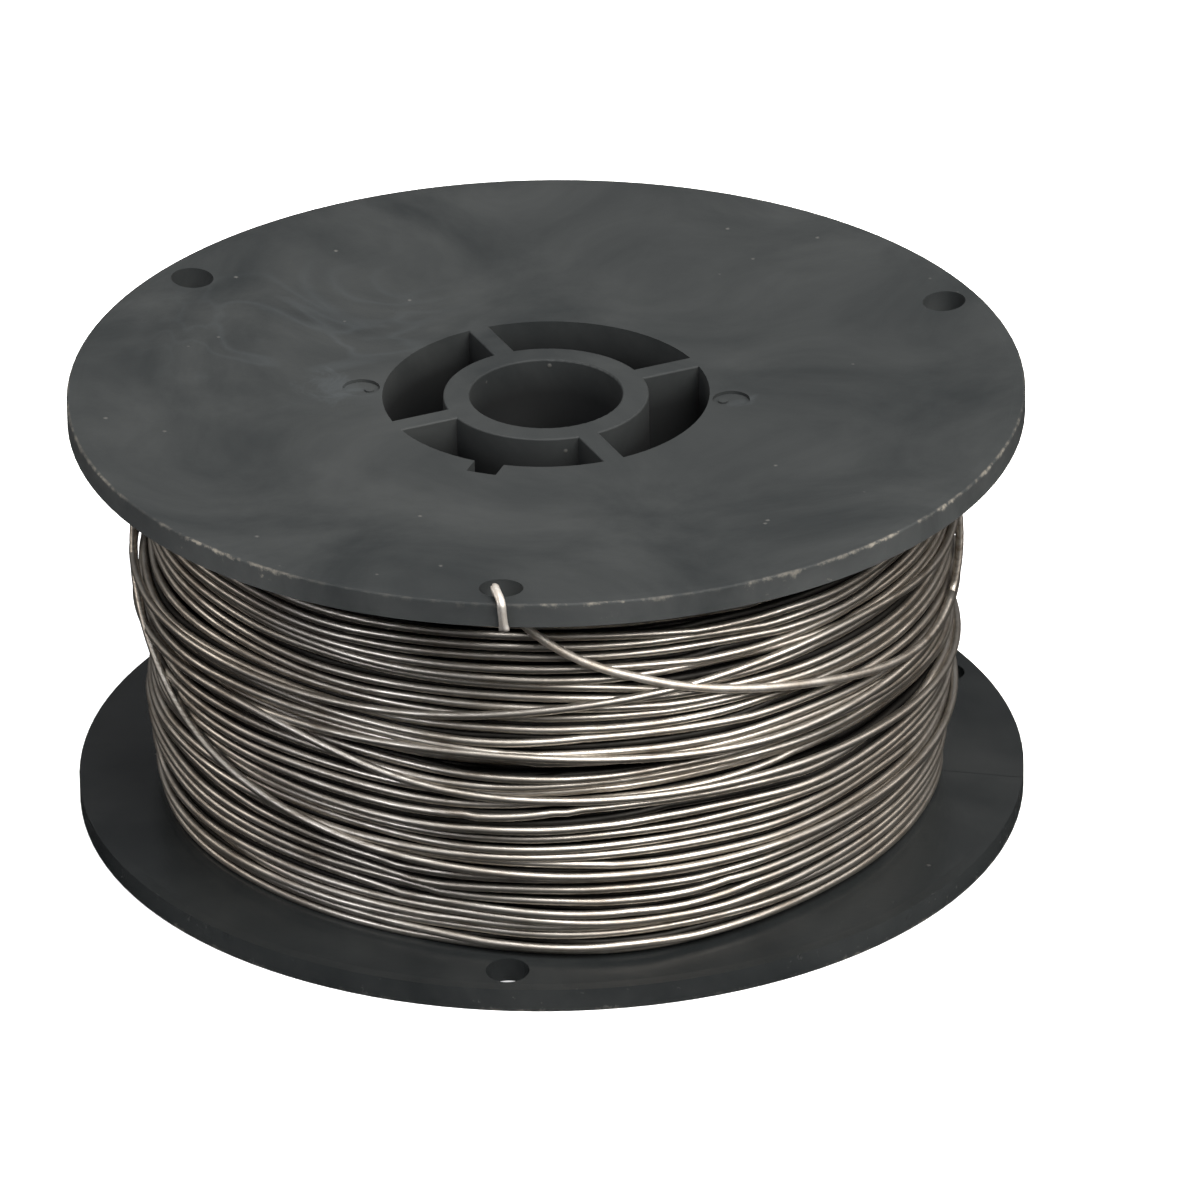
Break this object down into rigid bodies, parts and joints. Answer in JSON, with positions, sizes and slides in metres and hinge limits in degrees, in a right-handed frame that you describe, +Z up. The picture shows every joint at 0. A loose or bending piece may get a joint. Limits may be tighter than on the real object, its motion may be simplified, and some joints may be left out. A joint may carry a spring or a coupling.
{
  "type": "welding wire spool",
  "caption": "Flanged plastic wire spool with a webbed hub and plain bore, wound full with steel welding wire whose outer end is hooked over the rim.",
  "frame": {"origin": "on the spool axis, in the plane of the flat land that the lower rim stands on", "axes": "+Z up along the spool axis; X through the two gate marks, in the mould's parting plane; -Y through the anchor hole that holds the wire's outer end"},
  "size_m": [0.1, 0.101, 0.048],
  "materials": {
    "spool_plastic": "moulded, satin, scuffed at the rims",
    "wire_steel": "drawn wire, half bright"
  },
  "bodies": {
    "root": {"spool_body": "spool_plastic", "wire_layer_01": "wire_steel", "wire_layer_02": "wire_steel", "wire_layer_03": "wire_steel", "wire_layer_04": "wire_steel", "wire_layer_05": "wire_steel", "wire_layer_06": "wire_steel", "wire_layer_07": "wire_steel", "wire_layer_08": "wire_steel", "wire_layer_09": "wire_steel", "wire_layer_10": "wire_steel", "wire_layer_11": "wire_steel", "wire_layer_12": "wire_steel", "wire_layer_13": "wire_steel", "wire_layer_14": "wire_steel", "wire_layer_15": "wire_steel", "wire_layer_16": "wire_steel", "wire_layer_17": "wire_steel", "wire_layer_18": "wire_steel", "wire_layer_19": "wire_steel", "wire_layer_20": "wire_steel", "wire_layer_21": "wire_steel", "wire_layer_22": "wire_steel", "wire_layer_23": "wire_steel", "wire_layer_24": "wire_steel", "wire_layer_25": "wire_steel", "wire_layer_26": "wire_steel", "wire_layer_27": "wire_steel", "wire_layer_28": "wire_steel", "wire_layer_29": "wire_steel", "wire_layer_30": "wire_steel", "wire_start": "wire_steel", "wire_tail": "wire_steel"}
  },
  "joints": []
}
